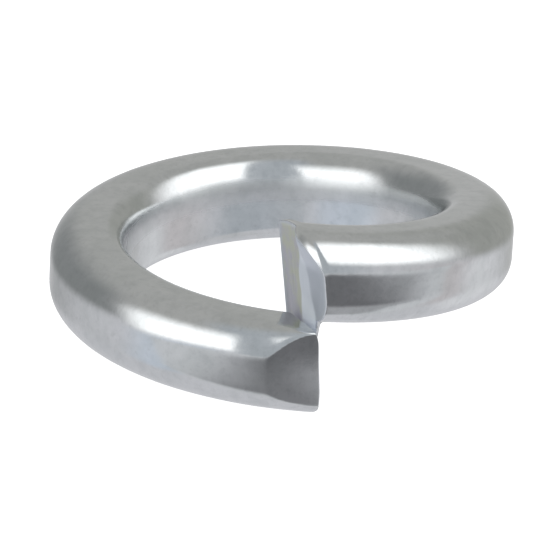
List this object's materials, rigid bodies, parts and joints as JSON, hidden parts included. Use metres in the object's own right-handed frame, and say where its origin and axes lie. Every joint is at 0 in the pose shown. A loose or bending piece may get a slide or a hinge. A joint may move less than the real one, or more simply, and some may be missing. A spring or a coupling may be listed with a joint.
{
  "type": "spring lock washer",
  "caption": "Split spring lock washer: an open left-handed turn of nearly square steel bar with rounded edges and skewed, offset cut ends.",
  "frame": {"origin": "on the bore's axis, at the level of the low end's underside", "axes": "+Z along the bore's axis, from the low end up to the high end; the cut faces -Y; the washer is symmetric about no plane"},
  "size_m": [0.0122, 0.0122, 0.0049],
  "materials": {
    "zinc_plated_steel": "bright zinc plate over spring steel, semi-gloss, with a fine uneven grain"
  },
  "bodies": {
    "root": {"lock_washer": "zinc_plated_steel"}
  },
  "joints": []
}
